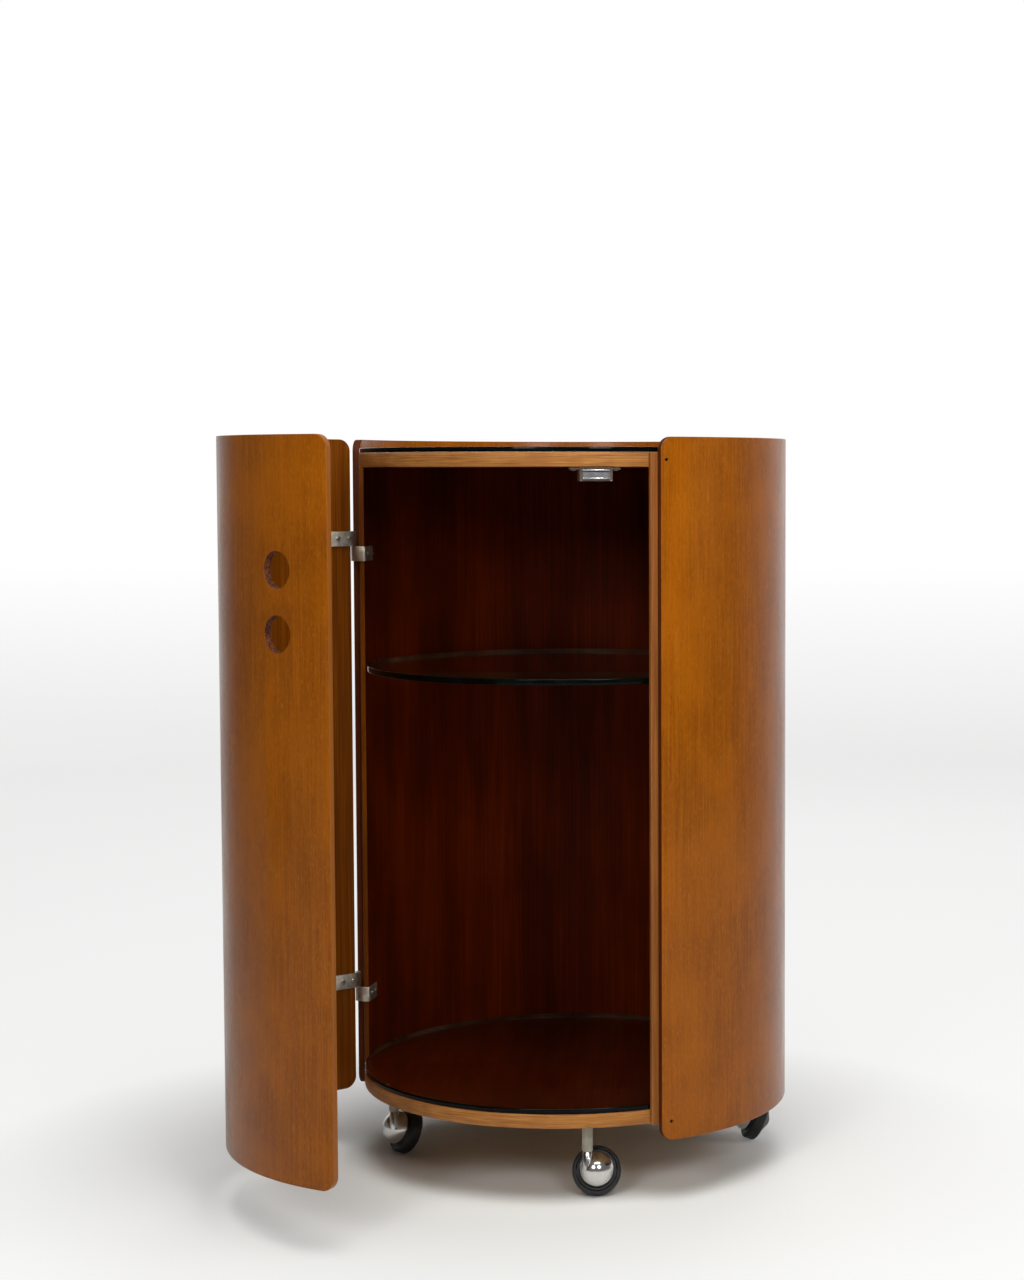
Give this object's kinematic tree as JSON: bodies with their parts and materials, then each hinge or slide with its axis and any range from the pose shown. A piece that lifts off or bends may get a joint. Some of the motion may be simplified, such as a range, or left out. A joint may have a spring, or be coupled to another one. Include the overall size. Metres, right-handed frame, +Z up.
{
  "type": "round bar cabinet",
  "caption": "Round drum bar cabinet on ball casters, with a curved hinged door with finger holes, a glass shelf, glass panels on top and base, and a magnetic catch.",
  "frame": {"origin": "centre of the rest-pose box in plan, at floor level under the tyres", "axes": "+Z up along the drum axis and the hinge pins, -Y towards the viewer in front of the opening, +X to the viewer's right"},
  "size_m": [0.5464, 0.5948, 0.7404],
  "materials": {
    "veneer_outer": "satin vertical-grain veneer, warm orange brown",
    "veneer_inner": "satin veneer, darker inside the drum",
    "panel_wood": "veneered board with a light edge",
    "clear_glass": "clear polished glass with a green-black edge",
    "hinge_steel": "dull nickel-plated steel",
    "screw_steel": "dull steel screw heads",
    "bright_steel": "bright plated steel",
    "catch_plastic": "brown moulded plastic",
    "chrome": "mirror chrome",
    "socket_plastic": "matte grey-beige",
    "black_plastic": "black moulded plastic",
    "tyre_rubber": "soft-sheen black rubber"
  },
  "bodies": {
    "cabinet": {"base_glass": "clear_glass", "base_panel": "panel_wood", "body_shell": "veneer_outer", "caster_back_socket": "socket_plastic", "caster_front_socket": "socket_plastic", "caster_left_socket": "socket_plastic", "caster_right_socket": "socket_plastic", "catch_housing": "catch_plastic", "catch_plate": "bright_steel", "catch_screw_left": "screw_steel", "catch_screw_right": "screw_steel", "hinge_lower_body_leaf": "hinge_steel", "hinge_lower_body_screw_1": "screw_steel", "hinge_lower_body_screw_2": "screw_steel", "hinge_lower_pin": "bright_steel", "hinge_upper_body_leaf": "hinge_steel", "hinge_upper_body_screw_1": "screw_steel", "hinge_upper_body_screw_2": "screw_steel", "hinge_upper_pin": "bright_steel", "liner": "veneer_inner", "panel_pin_left_high": "screw_steel", "panel_pin_left_low": "screw_steel", "panel_pin_right_high": "screw_steel", "panel_pin_right_low": "screw_steel", "shelf_glass": "clear_glass", "shelf_peg_1": "hinge_steel", "shelf_peg_2": "hinge_steel", "shelf_peg_3": "hinge_steel", "shelf_peg_4": "hinge_steel", "top_glass": "clear_glass", "top_panel": "panel_wood"},
    "door": {"door_panel": "veneer_outer", "hinge_lower_door_leaf": "hinge_steel", "hinge_lower_door_screw_1": "screw_steel", "hinge_lower_door_screw_2": "screw_steel", "hinge_upper_door_leaf": "hinge_steel", "hinge_upper_door_screw_1": "screw_steel", "hinge_upper_door_screw_2": "screw_steel", "strike_plate": "bright_steel", "strike_screw": "screw_steel"},
    "caster_front_swivel": {"caster_front_hood": "chrome", "caster_front_axle": "hinge_steel"},
    "caster_front_roller": {"caster_front_wheel": "black_plastic", "caster_front_tyre": "tyre_rubber"},
    "caster_right_swivel": {"caster_right_hood": "chrome", "caster_right_axle": "hinge_steel"},
    "caster_right_roller": {"caster_right_wheel": "black_plastic", "caster_right_tyre": "tyre_rubber"},
    "caster_back_swivel": {"caster_back_hood": "chrome", "caster_back_axle": "hinge_steel"},
    "caster_back_roller": {"caster_back_wheel": "black_plastic", "caster_back_tyre": "tyre_rubber"},
    "caster_left_swivel": {"caster_left_hood": "chrome", "caster_left_axle": "hinge_steel"},
    "caster_left_roller": {"caster_left_wheel": "black_plastic", "caster_left_tyre": "tyre_rubber"}
  },
  "joints": [
    {"name": "door_hinge", "type": "hinge", "parent": "cabinet", "child": "door", "pos_m": [-0.17443, 0.09273, 0.35423], "axis": [0, 0, 1], "range_deg": [-69.6, 50.4]},
    {"name": "caster_front_swivel_turn", "type": "hinge", "parent": "cabinet", "child": "caster_front_swivel", "pos_m": [0.07689, -0.10686, 0.04818], "axis": [0, 0, 1], "continuous": true},
    {"name": "caster_front_roll", "type": "hinge", "parent": "caster_front_swivel", "child": "caster_front_roller", "pos_m": [0.08491, -0.08918, 0.02366], "axis": [0.0514, -0.9191, 0.3907], "continuous": true},
    {"name": "caster_right_swivel_turn", "type": "hinge", "parent": "cabinet", "child": "caster_right_swivel", "pos_m": [0.22748, 0.10118, 0.04818], "axis": [0, 0, 1], "continuous": true},
    {"name": "caster_right_roll", "type": "hinge", "parent": "caster_right_swivel", "child": "caster_right_roller", "pos_m": [0.24286, 0.11303, 0.02366], "axis": [-0.9065, -0.1598, 0.3907], "continuous": true},
    {"name": "caster_back_swivel_turn", "type": "hinge", "parent": "cabinet", "child": "caster_back_swivel", "pos_m": [0.01945, 0.25177, 0.04818], "axis": [0, 0, 1], "continuous": true},
    {"name": "caster_back_roll", "type": "hinge", "parent": "caster_back_swivel", "child": "caster_back_roller", "pos_m": [0.00342, 0.24081, 0.02366], "axis": [0.4322, 0.8128, 0.3907], "continuous": true},
    {"name": "caster_left_swivel_turn", "type": "hinge", "parent": "cabinet", "child": "caster_left_swivel", "pos_m": [-0.13115, 0.04374, 0.04818], "axis": [0, 0, 1], "continuous": true},
    {"name": "caster_left_roll", "type": "hinge", "parent": "caster_left_swivel", "child": "caster_left_roller", "pos_m": [-0.12133, 0.06048, 0.02366], "axis": [-0.7806, -0.4878, 0.3907], "continuous": true}
  ]
}
